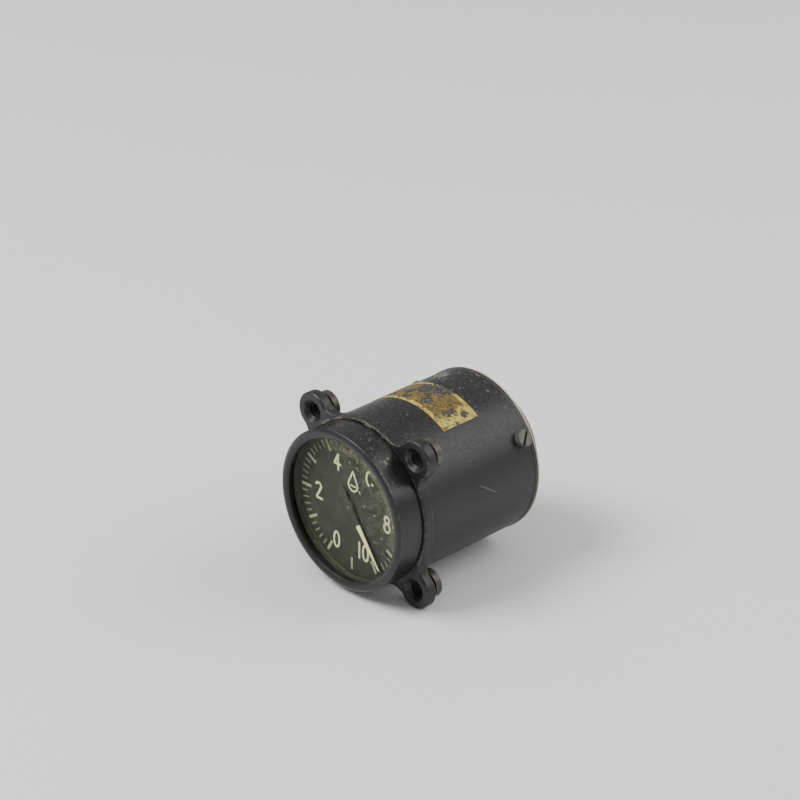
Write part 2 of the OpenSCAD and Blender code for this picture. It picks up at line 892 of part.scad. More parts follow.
// Section of a winding round the core: a rectangle with the insulated core left out
module coil_section() {
    difference() {
        translate([coil_inner_r, core_front_y - insulation_t - winding_t])
            square([coil_r - coil_inner_r, core_l + 2 * (insulation_t + winding_t)]);
        translate([core_inner_r - insulation_t, core_front_y - insulation_t])
            square([core_w + 2 * insulation_t, core_l + 2 * insulation_t]);
    }
}

// Three windings, each between two ears of the core
module stator_coils() {
    color(COPPER)
        for (i = [0 : thirds - 1])
            on_axis(0)
                rotate([0, 0, about_axis(terminal_angle + i * third_turn) - coil_arc / 2])
                    rotate_extrude(angle = coil_arc)
                        coil_section();
}

// Copper cup round the rotor, whose eddy currents steady the pointer
module damping_cup() {
    color(COPPER)
        difference() {
            disc(cup_r, cup_front_y, rear_bridge_y - cup_front_y);
            disc(cup_r - cup_wall, cup_front_y - overshoot,
                rear_bridge_y - cup_floor_t - cup_front_y + overshoot);
            disc(shaft_hole_r, cup_front_y, rear_bridge_y - cup_front_y + overshoot);
        }
}

// Three-armed bridge behind the core, with the rear jewel's seat
module rear_bridge() {
    color(ALUMINIUM)
        difference() {
            union() {
                disc(rear_hub_r, rear_bridge_y, bridge_t);
                in_thirds(tie_angle) {
                    disc_at(tie_circle_r, arm_w / 2, rear_bridge_y, bridge_t);
                    translate([-arm_w / 2, rear_bridge_y, 0])
                        cube([arm_w, bridge_t, tie_circle_r]);
                }
            }
            disc(jewel_d / 2, rear_jewel_y, jewel_t + overshoot);
            disc(shaft_hole_r, rear_bridge_y - overshoot, bridge_t);
            in_thirds(tie_angle)
                disc_at(tie_circle_r, tie_bolt_d / 2 + screw_clearance, rear_bridge_y - overshoot,
                    bridge_t + 2 * overshoot);
        }
}

module tie_bolts() {
    color(STEEL)
        in_thirds(tie_angle)
            translate([0, 0, tie_circle_r])
                on_axis(rear_bridge_back_y)
                    slotted_screw(tie_bolt_d, rear_bridge_back_y - front_bridge_y, tie_spacer_d,
                        tie_head_h, small_slot_w, slot_turn);
}

// One lead in each third: a slanting wire that ends inside a sleeve on the winding and one on the stud
module stator_leads() {
    start = [core_mid_r, coil_back_y + sleeve_l - sleeve_grip];
    end = [stud_circle_r, stud_front_y - sleeve_l + sleeve_grip];
    run = end - start;
    color(COPPER)
        in_thirds(terminal_angle) {
            disc_at(core_mid_r, sleeve_r, coil_back_y, sleeve_l);
            translate([0, start[1], start[0]])
                rotate([-atan2(run[1], run[0]), 0, 0])
                    cylinder(r = lead_r, h = norm(run));
            disc_at(stud_circle_r, sleeve_r, stud_front_y - sleeve_l, sleeve_l);
        }
}

bezel_ring();
cover_glass();
glass_gasket();
spacer_ring();
dial_plate();
scale_marks();
case_body();
captive_nuts();
rear_cover();
cover_screws();
data_label();
terminal_block();
block_screws();
terminal_studs();
terminal_washers();
terminal_nuts();
pointer_blade();
pointer_lume();
pointer_hub();
pointer_shaft();
rotor_bush();
magnet_rotor();
front_jewel();
rear_jewel();
front_bridge();
chassis_screws();
parking_magnet();
front_spacers();
stator_core();
stator_coils();
rear_spacers();
damping_cup();
rear_bridge();
tie_bolts();
stator_leads();
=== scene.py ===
"""Looks of a small panel-mounted aircraft fuel gauge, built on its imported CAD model.

Metres, in the frame of the CAD: the origin is on the gauge's axis in the plane of the lugs' front faces,
+Y runs rearwards, +X to the right of someone reading the dial, and +Z up. Clock angles are in degrees,
clockwise from the top as seen from the front. Materials, strokes and profiles work in millimetres. A seed
sets one noise apart from the others and says nothing else.
"""

import math
import random

import bpy
from mathutils import Matrix, Vector


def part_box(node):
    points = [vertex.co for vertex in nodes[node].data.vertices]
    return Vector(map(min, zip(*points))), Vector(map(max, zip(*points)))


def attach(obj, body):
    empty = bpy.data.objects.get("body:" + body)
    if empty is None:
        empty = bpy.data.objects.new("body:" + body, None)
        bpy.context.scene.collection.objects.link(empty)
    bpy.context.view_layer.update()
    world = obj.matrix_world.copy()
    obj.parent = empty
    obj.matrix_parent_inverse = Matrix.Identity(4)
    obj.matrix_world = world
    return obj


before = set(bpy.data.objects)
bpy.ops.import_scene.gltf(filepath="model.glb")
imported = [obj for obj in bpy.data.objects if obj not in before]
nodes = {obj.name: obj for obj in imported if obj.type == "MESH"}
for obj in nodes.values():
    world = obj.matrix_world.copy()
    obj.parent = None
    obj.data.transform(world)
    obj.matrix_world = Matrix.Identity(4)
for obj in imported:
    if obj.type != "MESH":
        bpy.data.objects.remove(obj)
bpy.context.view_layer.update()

MM = 0.001

# Sizes in millimetres, read from the frame
BEZEL_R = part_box("bezel_ring")[1].x / MM
BEZEL_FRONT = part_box("bezel_ring")[0].y / MM
DIAL_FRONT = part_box("dial_plate")[0].y / MM
GLASS_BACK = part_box("cover_glass")[1].y / MM
RIM_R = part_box("rear_cover")[1].x / MM
LABEL_FRONT, LABEL_BACK = (corner.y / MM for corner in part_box("data_label"))
RIM_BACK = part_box("rear_cover")[1].y / MM
FLOOR = min(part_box("cover_screws")[0].z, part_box("case_body")[0].z) / MM

# Sizes in millimetres that no box shows, as the CAD's source has them
BEZEL_FACE_W = 3.3
OPENING_R = BEZEL_R - BEZEL_FACE_W
SPACER_W = 1.2
FLANGE_BACK = 4.2
RIM_T = 1.7
NUT_FLANGE_Y = 6.0
LUG_AT = 25.0

# Radius within which the recess of a lug is painted dark with shade, a little less than the recess's own
DARK_RECESS_R = 4.2

# A scratch on the case: the depth and clock angle at which it starts, its slope in millimetres a degree and
# how many degrees it covers
SCRATCH_Y, SCRATCH_TURN, SCRATCH_SLOPE, SCRATCH_ARC = 27.9, 77.5, 0.77, 9

# Depth of a torn notch in the label's near edge
NOTCH_Y = LABEL_FRONT + 6.6

# Clock angles between which wear lies: chips and scuffs on the bezel, a pale crust behind it, flecks at the
# rear of the case and the border line that crosses the label
CHIPS_ARC = (41, 54)
SCUFFS_ARC = (-50, 62)
CRUST_ARC = (-44, 20)
FLECKS_ARC = (-30, 22)
CROSS_LINE_ARC = (28.6, 29.2)

# A pale smear on the case, by depth, clock angle and reach
SMEAR = (47, -18, 4)

# Clock directions in which dirt lies thickest: dust on dial and pane, fine dust and bloom on the pane, and the
# film that dulls the marks
DUST_SIDE, FINE_DUST_SIDE, BLOOM_SIDE, DULL_SIDE = 60, 80, 42, 10

# Clock angle at which the scale starts and angle of one of its divisions, as the CAD has them
SCALE_START = -151.0
DIVISION = 30.2

# Levels of red, green and blue, from 0 to 255, of the dirt that several surfaces share
PALE_GRIT = (150, 146, 130)
PALE_FLECKS = (168, 166, 150)
BLACK_DIRT = (44, 40, 32)

GLASS_IOR = 1.38
# Share of the pane's mirror image that is kept, because the noise of a full one leaves a pattern on the dial.
# The rest is a painted reflection in the colours of the dial and the spacer ring.
MIRROR_SHARE = 0.25


def shade(red, green, blue):
    """A colour as the eye reads it, from 0 to 255, in the linear values that shaders take."""
    linear = []
    for level in (red, green, blue):
        share = level / 255
        linear.append(share / 12.92 if share <= 0.04045 else ((share + 0.055) / 1.055) ** 2.4)
    return (*linear, 1.0)


class Surface:
    """A material under construction. Its calls return sockets, and take sockets or plain numbers.

    Each layer of wear is a mask from 0 to 1: a noise or a place is sharpened by step or window, whose numbers
    say where it starts and ends, and the number in the product that mixes it in says how strongly it shows.
    """

    def __init__(self, name, roughness=0.5, metallic=0.0):
        self.material = bpy.data.materials.new(name)
        self.material.use_nodes = True
        self.tree = self.material.node_tree
        self.shader = self.tree.nodes["Principled BSDF"]
        self.shader.inputs["Roughness"].default_value = roughness
        self.shader.inputs["Metallic"].default_value = metallic
        coords = self.add("TexCoord").outputs["Object"]
        self.place = self.add("VectorMath", {0: coords, "Scale": 1 / MM}, operation="SCALE").outputs[0]
        self.xyz = self.add("SeparateXYZ", {0: self.place}).outputs

    def add(self, kind, inputs=None, **settings):
        made = self.tree.nodes.new("ShaderNode" + kind)
        for key, value in settings.items():
            setattr(made, key, value)
        for key, value in (inputs or {}).items():
            if isinstance(value, bpy.types.NodeSocket):
                self.tree.links.new(value, made.inputs[key])
            else:
                made.inputs[key].default_value = value
        return made

    def math(self, operation, a, b=0.0):
        return self.add("Math", {0: a, 1: b}, operation=operation).outputs[0]

    def product(self, *values):
        total = values[0]
        for value in values[1:]:
            total = self.math("MULTIPLY", total, value)
        return total

    def either(self, *values):
        total = values[0]
        for value in values[1:]:
            total = self.math("MAXIMUM", total, value)
        return total

    def step(self, value, low, high):
        """0 below low, 1 above high and smooth between them. With low above high it falls instead."""
        return self.add(
            "MapRange", {0: value, 1: low, 2: high}, clamp=True, interpolation_type="SMOOTHSTEP"
        ).outputs[0]

    def window(self, value, low, high, soft):
        """1 between low and high, with soft ends."""
        return self.product(
            self.step(value, low - soft, low + soft), self.step(value, high + soft, high - soft)
        )

    def radius(self):
        """Distance from the gauge's axis."""
        x2 = self.product(self.xyz[0], self.xyz[0])
        z2 = self.product(self.xyz[2], self.xyz[2])
        return self.math("SQRT", self.math("ADD", x2, z2))

    def clock(self):
        """Clock angle from -180 to 180 degrees."""
        return self.product(self.math("ARCTAN2", self.xyz[0], self.xyz[2]), 180 / math.pi)

    def toward(self, clock):
        """How far a place lies from the axis in a clock direction."""
        angle = math.radians(clock)
        return self.math(
            "ADD", self.product(self.xyz[0], math.sin(angle)), self.product(self.xyz[2], math.cos(angle))
        )

    def noise(self, size, seed=0.0, detail=3.0, stretch=(1, 1, 1)):
        """Clouds about size millimetres across, mostly between 0.3 and 0.7."""
        place = self.add("VectorMath", {0: self.place, 1: stretch}, operation="MULTIPLY").outputs[0]
        return self.add(
            "TexNoise",
            {"Vector": place, "W": seed, "Scale": 1 / size, "Detail": detail},
            noise_dimensions="4D",
        ).outputs[0]

    def specks(self, spacing, size, share, seed=0.0, stretch=(1, 1, 1)):
        """Specks, up to size millimetres across, round a share of points that lie spacing apart."""
        place = self.add("VectorMath", {0: self.place, 1: stretch}, operation="MULTIPLY").outputs[0]
        place = self.add("VectorMath", {0: place, 1: (seed, seed, seed)}, operation="ADD").outputs[0]
        cells = self.add("TexVoronoi", {"Vector": place, "Scale": 1 / spacing}).outputs
        draw = self.add("SeparateColor", {0: cells["Color"]}).outputs
        ragged = self.product(self.math("SUBTRACT", self.noise(0.4, seed, 2), 0.5), 0.7 * size / spacing)
        reach = self.product(draw[1], size / 2 / spacing)
        near = self.math("LESS_THAN", self.math("ADD", cells["Distance"], ragged), reach)
        return self.product(near, self.math("LESS_THAN", draw[0], share))

    def spot(self, depth, turn, at_depth, at_turn, reach):
        """1 at a place on the case, given by its depth and clock angle, and 0 from reach millimetres on."""
        along = self.math("SUBTRACT", depth, at_depth)
        across = self.product(self.math("SUBTRACT", turn, at_turn), RIM_R * math.pi / 180)
        far = self.math("SQRT", self.math("ADD", self.product(along, along), self.product(across, across)))
        return self.step(far, reach, 0.35 * reach)

    def edges(self, width):
        """1 on sharp edges, within about width millimetres of them."""
        bent = self.add("Bevel", {"Radius": width * MM}, samples=4).outputs[0]
        flat = self.add("NewGeometry").outputs["Normal"]
        alike = self.add("VectorMath", {0: bent, 1: flat}, operation="DOT_PRODUCT").outputs["Value"]
        return self.step(alike, 0.995, 0.9)

    def corners(self, reach):
        """1 in hollow corners, where dirt gathers within about reach millimetres."""
        open_share = self.add("AmbientOcclusion", {"Distance": reach * MM}, samples=4).outputs["AO"]
        return self.step(open_share, 0.85, 0.35)

    def mix(self, share, first, second):
        made = self.add("Mix", {0: share, 6: first, 7: second}, data_type="RGBA", clamp_factor=True)
        return made.outputs[2]

    def blend(self, share, first, second):
        made = self.add("Mix", {0: share, 2: first, 3: second}, data_type="FLOAT", clamp_factor=True)
        return made.outputs[0]

    def specular(self, level):
        self.shader.inputs["Specular IOR Level"].default_value = level

    def colour(self, value):
        self.tree.links.new(value, self.shader.inputs["Base Color"])

    def rough(self, value):
        self.tree.links.new(value, self.shader.inputs["Roughness"])

    def metal(self, value):
        self.tree.links.new(value, self.shader.inputs["Metallic"])

    def bump(self, height, depth):
        """Relief from a height of 0 to 1, depth millimetres deep."""
        made = self.add("Bump", {"Height": height, "Distance": depth * MM, "Strength": 1.0})
        self.tree.links.new(made.outputs[0], self.shader.inputs["Normal"])


def dress(material, *names):
    """Gives CAD nodes a material as their only one."""
    for name in names:
        mesh = nodes[name].data
        mesh.materials.clear()
        mesh.materials.append(material)


def enamel(name, tone, roughness, seed):
    """Old satin black enamel: faintly clouded, dusty and specked where it faces up, dirty in its corners."""
    s = Surface(name, roughness)
    s.specular(0.4)
    clouds = s.noise(8, seed)
    base = s.mix(s.step(clouds, 0.35, 0.7), shade(*tone), shade(*(level + 4 for level in tone)))
    grain = s.step(s.noise(0.6, seed + 8, 3), 0.42, 0.66)
    base = s.mix(s.product(grain, 0.6), base, shade(*(level + 6 for level in tone)))
    facing = s.add("SeparateXYZ", {0: s.add("NewGeometry").outputs["Normal"]}).outputs[2]
    upward = s.step(facing, 0.35, 0.95)
    dust = s.product(upward, s.step(s.noise(1.1, seed + 2, 6), 0.46, 0.7), 0.12)
    base = s.mix(dust, base, shade(118, 112, 98))
    grit = s.either(s.specks(1.5, 0.9, 0.35, seed + 3), s.specks(0.8, 0.5, 0.3, seed + 4))
    grit = s.product(grit, s.step(s.noise(7, seed + 5), 0.44, 0.6), s.blend(upward, 0.05, 1.0))
    base = s.mix(s.product(grit, 0.45), base, shade(*PALE_GRIT))
    wear = s.product(s.edges(0.2), s.step(s.noise(1.1, seed + 6, 4), 0.5, 0.62))
    base = s.mix(s.product(wear, 0.4), base, shade(108, 104, 92))
    dirt = s.product(s.corners(1.3), s.step(s.noise(1.1, seed + 7, 5), 0.44, 0.66))
    base = s.mix(s.product(dirt, 0.4), base, shade(80, 74, 58))
    s.rough(s.blend(s.either(dust, dirt, grain), roughness, roughness + 0.1))
    s.bump(s.math("ADD", s.product(s.noise(0.6, seed + 1, 4), 0.7), s.product(grit, 0.5)), 0.012)
    return s, base


def plain_enamel(name, tone, roughness, seed):
    s, base = enamel(name, tone, roughness, seed)
    s.colour(base)
    return s.material


def bezel_paint():
    """The bezel's paint: glossier in front, chipped on its crest at the top right, scuffed on its skirt."""
    s, base = enamel("bezel_enamel", (27, 27, 29), 0.31, 3.0)
    depth, turn = s.xyz[1], s.clock()
    near = s.step(s.radius(), BEZEL_R - 0.75, BEZEL_R - 0.3)
    edge = s.product(near, s.window(depth, BEZEL_FRONT + 0.5, BEZEL_FRONT + 1.3, 0.2))
    chips = s.product(edge, s.window(turn, *CHIPS_ARC, 4), s.step(s.noise(0.6, 21, 4), 0.52, 0.58))
    base = s.mix(s.product(chips, 0.6), base, shade(136, 130, 104))
    pale_edges = s.product(edge, s.step(s.noise(1.6, 23, 4), 0.52, 0.66))
    base = s.mix(s.product(pale_edges, 0.2), base, shade(110, 108, 104))
    skirt = s.product(s.step(depth, BEZEL_FRONT + 2, BEZEL_FRONT + 3), s.window(turn, *SCUFFS_ARC, 14))
    scuffs = s.either(
        s.specks(3.0, 1.3, 0.4, 24, (0.4, 1, 1)),
        s.specks(2.4, 0.8, 0.4, 25, (1, 1, 0.4)),
        s.specks(1.2, 0.6, 0.3, 26),
    )
    base = s.mix(s.product(scuffs, skirt, 0.45), base, shade(*PALE_GRIT))
    s.colour(base)
    return s.material


def case_paint():
    """The case's paint: worn on the front edges of flange and lugs, with a painted highlight on their rear
    edges, dirty behind the bezel, scratched, and painted dark with shade in the recesses of the lugs.
    """
    s, base = enamel("case_enamel", (31, 30, 31), 0.4, 8.0)
    depth, turn = s.xyz[1], s.clock()
    outer = s.step(s.radius(), BEZEL_R + 0.3, BEZEL_R + 0.9)
    front_edge = s.window(depth, 0.12, 0.5, 0.12)
    # One pale line colour covers worn paint on the front edges and a painted highlight on the rear edges
    highlit_rear_edge = s.window(depth, FLANGE_BACK - 0.5, FLANGE_BACK - 0.15, 0.12)
    pale_edges = s.product(outer, s.either(front_edge, highlit_rear_edge), s.step(s.noise(1.8, 33, 5), 0.48, 0.62))
    base = s.mix(s.product(pale_edges, 0.4), base, shade(118, 116, 104))
    ledge = s.product(s.window(depth, -0.3, 0.1, 0.2), s.step(s.radius(), BEZEL_R + 1.2, BEZEL_R + 0.3))
    crust = s.product(ledge, s.step(s.noise(0.9, 31, 5), 0.45, 0.6))
    base = s.mix(s.product(crust, 0.5), base, shade(96, 90, 72))
    pale = s.product(ledge, s.window(turn, *CRUST_ARC, 6), s.step(s.noise(1.6, 34, 4), 0.5, 0.56))
    base = s.mix(s.product(pale, 0.7), base, shade(158, 154, 132))
    fallen = s.product(s.step(depth, LABEL_BACK - 3, LABEL_BACK + 3), s.window(turn, *FLECKS_ARC, 18))
    flecks = s.either(s.specks(1.3, 0.9, 0.45, 35), s.specks(0.9, 0.6, 0.45, 36))
    flecks = s.product(flecks, fallen, s.step(s.noise(5, 37), 0.42, 0.56))
    base = s.mix(s.product(flecks, 0.7), base, shade(*PALE_FLECKS))
    right, up = (s.math("SUBTRACT", s.math("ABSOLUTE", s.xyz[axis]), LUG_AT) for axis in (0, 2))
    off_lug = s.math("SQRT", s.math("ADD", s.product(right, right), s.product(up, up)))
    in_recess = s.step(off_lug, DARK_RECESS_R + 0.1, DARK_RECESS_R - 0.3)
    # Painted shade: the recess of each lug is painted near-black where shade falls in it
    hollow = s.product(in_recess, s.window(depth, 0.5, NUT_FLANGE_Y, 0.3))
    base = s.mix(s.product(hollow, 0.8), base, shade(18, 17, 17))
    smear = s.product(s.spot(depth, turn, *SMEAR), s.step(s.noise(1.3, 38, 5), 0.42, 0.6))
    base = s.mix(s.product(smear, 0.5), base, shade(*PALE_FLECKS))
    bend = s.product(s.math("SUBTRACT", s.noise(2.5, 5), 0.5), 1.2)
    slant = s.product(s.math("SUBTRACT", turn, SCRATCH_TURN), SCRATCH_SLOPE)
    along = s.math("ADD", s.math("SUBTRACT", s.math("SUBTRACT", depth, SCRATCH_Y), slant), bend)
    scratch = s.step(s.math("ABSOLUTE", along), 0.4, 0.15)
    scratch = s.product(scratch, s.window(turn, SCRATCH_TURN, SCRATCH_TURN + SCRATCH_ARC, 1.5))
    base = s.mix(s.product(scratch, 0.4), base, shade(146, 144, 136))
    s.colour(base)
    return s.material


def cover_paint():
    """The rear cover: black paint, worn through to bare metal along the rear edge of its rim, and painted
    lighter on the rim's narrow front ledge to lift the shade that falls on it.
    """
    s, base = enamel("cover_enamel", (31, 30, 31), 0.42, 14.0)
    rim = s.product(
        s.step(s.radius(), RIM_R - 0.7, RIM_R - 0.35),
        s.step(s.xyz[1], RIM_BACK - 0.75, RIM_BACK - 0.5),
        s.step(s.noise(3.5, 15, 4), 0.3, 0.42),
    )
    base = s.mix(s.product(rim, 0.9), base, shade(176, 170, 148))
    # Painted light: the rim's narrow front ledge is lightened to lift the shade on it
    lightened_ledge = s.step(s.xyz[1], RIM_BACK - RIM_T + 0.15, RIM_BACK - RIM_T + 0.02)
    base = s.mix(s.product(lightened_ledge, 0.8), base, shade(120, 118, 110))
    s.colour(base)
    s.metal(s.product(rim, 0.3))
    return s.material


def dial_paint():
    """Matt black dial, painted lighter as a stand-in for the pane's reflection, greyed by dust that lies
    thicker and coarser on its right-hand half.
    """
    s = Surface("dial_paint", 0.9)
    s.specular(0.15)
    # Painted reflection: the base tones are lighter than black paint, standing in for the pane's mirror image
    base = s.mix(s.step(s.noise(6, 41), 0.35, 0.7), shade(58, 59, 54), shade(66, 66, 60))
    right = s.step(s.toward(DUST_SIDE), -4, 14)
    grime = s.product(s.blend(right, 0.3, 1.0), s.step(s.noise(2.4, 44, 6), 0.48, 0.6))
    base = s.mix(s.product(grime, 0.6), base, shade(92, 92, 82))
    stain = s.product(s.step(s.radius(), 13, 24), s.step(s.noise(3.2, 49, 6), 0.44, 0.66))
    base = s.mix(s.product(stain, 0.35), base, shade(84, 83, 68))
    flecks = s.either(s.specks(1.7, 1.4, 0.35, 45), s.specks(0.9, 0.7, 0.35, 46))
    flecks = s.product(flecks, s.blend(right, 0.16, 1.0), s.step(s.noise(5, 50), 0.36, 0.52))
    base = s.mix(s.product(flecks, 0.85), base, shade(176, 177, 160))
    s.colour(base)
    s.rough(s.blend(grime, 0.85, 1.0))
    s.bump(flecks, 0.01)
    return s.material


def lume_paint(name, bright, dull, worn, uneven=16):
    """Aged luminous paint, slightly crumbly, and darker in places by as many levels as it is uneven."""
    s = Surface(name, 0.8)
    clouds = s.step(s.noise(1.7, 51, 4), 0.36, 0.66)
    base = s.mix(clouds, shade(*bright), shade(*(level - uneven for level in bright)))
    cracks = s.step(s.noise(0.45, 52, 4), 0.54, 0.68)
    base = s.mix(s.product(cracks, worn), base, shade(*dull))
    s.colour(base)
    s.bump(s.noise(0.3, 53, 3), 0.05)
    return s, base


def scale_paint():
    """The marks: numbered ones brighter, small ones greyed, all of them dulled where the bloom lies."""
    s, base = lume_paint("scale_lume", (186, 190, 154), (92, 92, 74), 0.75)
    count = s.math("DIVIDE", s.math("SUBTRACT", s.clock(), SCALE_START), DIVISION)
    aside = s.math("ABSOLUTE", s.math("SUBTRACT", count, s.math("ROUND", count)))
    arc = s.product(aside, s.radius(), math.radians(DIVISION))
    minor = s.product(s.step(arc, 0.7, 1.0), s.step(s.math("ABSOLUTE", s.clock()), 176, 173))
    base = s.mix(s.product(minor, 0.62), base, shade(104, 106, 90))
    hidden = s.product(s.step(s.toward(DULL_SIDE), 12, 22), s.step(s.noise(2, 55, 3), 0.25, 0.5))
    base = s.mix(s.product(hidden, 0.55), base, shade(90, 90, 72))
    s.colour(base)
    return s.material


# Places on the label, by depth and clock angle, where the gilt is worn through, each with its reach
WORN_PLACES = (
    (28.6, 23, 2.6), (31.4, 24.5, 2.2), (34.4, 28.7, 2.2), (27.9, 5.7, 2.8), (33.2, -7.5, 4.4),
    (35.8, 2.6, 4.6), (30, -15, 3.4), (37.5, -3, 4.4), (25.6, -9, 2.2), (26.4, -26, 2.8),
    (33, -30, 3.2), (38.5, 8, 2.4), (31, 1, 2), (37.6, 4.5, 3.4), (36, -9, 3.2),
)


def foil():
    """The label: gilt foil with a border line and no words, stained brown and worn through to blue-black."""
    s = Surface("label_foil", 0.5)
    s.specular(0.3)
    depth, turn = s.xyz[1], s.clock()
    gilt = s.mix(s.step(s.noise(1.9, 61, 5), 0.4, 0.64), shade(202, 182, 88), shade(168, 144, 70))
    far_end = s.product(s.step(turn, -12, -34), 0.5)
    gilt = s.mix(far_end, gilt, shade(136, 130, 92))
    inner = s.product(s.window(depth, LABEL_FRONT + 1.7, LABEL_BACK - 1.7, 0.5), s.step(turn, 26, 20))
    clouds = s.math("ADD", s.product(s.noise(1.7, 62, 6), 0.6), s.product(s.noise(0.6, 70, 4), 0.4))
    stains = s.step(s.math("ADD", clouds, s.product(inner, 0.22)), 0.54, 0.65)
    brown = s.mix(s.step(s.noise(1.2, 67, 5), 0.42, 0.6), shade(96, 76, 44), shade(52, 42, 32))
    brown = s.mix(s.product(s.step(s.noise(1.6, 69, 4), 0.5, 0.62), 0.4), brown, shade(124, 88, 52))
    brown = s.mix(s.product(s.step(s.noise(0.8, 75, 4), 0.48, 0.58), 0.45), brown, shade(124, 114, 66))
    base = s.mix(s.product(stains, 0.88), gilt, brown)
    rule = s.product(
        s.either(
            s.window(depth, LABEL_FRONT + 1.35, LABEL_FRONT + 1.6, 0.1),
            s.window(depth, LABEL_BACK - 1.5, LABEL_BACK - 1.25, 0.1),
            s.window(turn, *CROSS_LINE_ARC, 0.2),
        ),
        s.step(s.noise(1.2, 63, 4), 0.42, 0.56),
    )
    base = s.mix(s.product(rule, 0.5), base, shade(104, 86, 50))
    worn = s.either(*(s.spot(depth, turn, *place) for place in WORN_PLACES))
    lost = s.math("ADD", s.noise(1.1, 64, 4), s.product(worn, 0.26))
    base = s.mix(s.product(s.step(lost, 0.54, 0.62), 0.6), base, shade(58, 47, 37))
    lost = s.step(lost, 0.6, 0.7)
    base = s.mix(s.product(lost, 0.9), base, s.mix(s.noise(0.8, 68, 3), shade(40, 42, 48), shade(72, 73, 74)))
    crumbs = s.step(s.noise(0.7, 65, 4), 0.6, 0.65)
    base = s.mix(s.product(crumbs, s.blend(worn, 0.2, 0.6)), base, shade(158, 156, 140))
    torn = s.product(s.window(depth, NOTCH_Y - 0.3, NOTCH_Y + 0.3, 0.2), s.step(turn, 31.6, 32.6))
    base = s.mix(torn, base, shade(44, 42, 40))
    s.colour(base)
    s.rough(s.blend(s.either(stains, lost), 0.46, 0.62))
    s.bump(s.math("SUBTRACT", s.product(s.noise(0.6, 66, 4), 0.6), lost), 0.04)
    return s.material


def bare_metal(name, tone, tarnish, roughness, seed, metallic):
    """Worn metal: clouded with tarnish, finely scratched, dirty in its corners and bright on its edges."""
    s = Surface(name, roughness, metallic)
    base = s.mix(s.step(s.noise(2.4, seed, 5), 0.35, 0.65), shade(*tone), shade(*tarnish))
    dirt = s.corners(0.9)
    base = s.mix(s.product(dirt, 0.55), base, shade(*BLACK_DIRT))
    bright = s.product(s.edges(0.15), s.step(s.noise(0.9, seed + 1), 0.4, 0.6))
    base = s.mix(s.product(bright, 0.6), base, shade(*(min(255, level + 55) for level in tone)))
    s.colour(base)
    grain = s.noise(0.25, seed + 2, 2, (1, 6, 1))
    s.rough(s.blend(s.noise(1.6, seed + 3), roughness - 0.1, roughness + 0.15))
    s.bump(grain, 0.01)
    return s.material


def nut_brass():
    """The captive nuts: brass under old paint, worn to an olive-brown, painted near-black as shade inside the
    lugs.
    """
    s = Surface("nut_brass", 0.5, 0.15)
    base = s.mix(s.step(s.noise(1.8, 101, 5), 0.38, 0.64), shade(76, 73, 65), shade(56, 53, 46))
    dirt = s.product(s.corners(0.9), s.step(s.noise(0.8, 104, 4), 0.3, 0.6))
    base = s.mix(s.product(dirt, 0.7), base, shade(*BLACK_DIRT))
    bright = s.product(s.edges(0.15), s.step(s.noise(0.9, 102), 0.4, 0.6))
    base = s.mix(s.product(bright, 0.45), base, shade(128, 122, 100))
    # Painted shade: inside the lug's bore the nut is painted near-black, mottled brown
    sunk = s.step(s.xyz[1], NUT_FLANGE_Y + 0.1, NUT_FLANGE_Y - 0.3)
    bore_shade = s.mix(s.noise(0.7, 105, 4), shade(16, 15, 13), shade(38, 34, 27))
    base = s.mix(s.product(sunk, 0.92), base, bore_shade)
    s.colour(base)
    s.rough(s.blend(s.either(dirt, sunk), 0.42, 0.7))
    s.bump(s.noise(0.3, 103, 3), 0.012)
    return s.material


def phenolic():
    """Olive-brown moulded block, faintly mottled."""
    s = Surface("phenolic", 0.42)
    base = s.mix(s.step(s.noise(3, 71, 5), 0.35, 0.68), shade(116, 107, 78), shade(102, 93, 66))
    base = s.mix(s.product(s.specks(0.9, 0.6, 0.4, 72), 0.5), base, shade(66, 56, 38))
    base = s.mix(s.product(s.corners(1.5), 0.5), base, shade(52, 46, 34))
    s.colour(base)
    s.rough(s.blend(s.noise(2, 73), 0.34, 0.52))
    s.bump(s.noise(0.5, 74, 3), 0.015)
    return s.material


def winding():
    """Enamelled copper wire, wound side by side."""
    s = Surface("copper_winding", 0.35, 0.7)
    base = s.mix(s.noise(1.5, 81, 4), shade(150, 78, 44), shade(116, 56, 32))
    s.colour(base)
    waves = {"Vector": s.place, "Scale": 0.8, "Distortion": 0.3}
    s.bump(s.add("TexWave", waves, bands_direction="Y").outputs[1], 0.12)
    return s.material


def rubber():
    s = Surface("old_rubber", 0.75)
    s.colour(s.mix(s.noise(1.2, 85, 4), shade(26, 26, 26), shade(48, 46, 42)))
    s.bump(s.noise(0.4, 86, 3), 0.03)
    return s.material


def jewel():
    s = Surface("jewel", 0.08)
    s.colour(s.mix(s.noise(0.8, 87), shade(150, 20, 44), shade(110, 8, 28)))
    s.bump(s.noise(0.5, 88), 0.002)
    return s.material


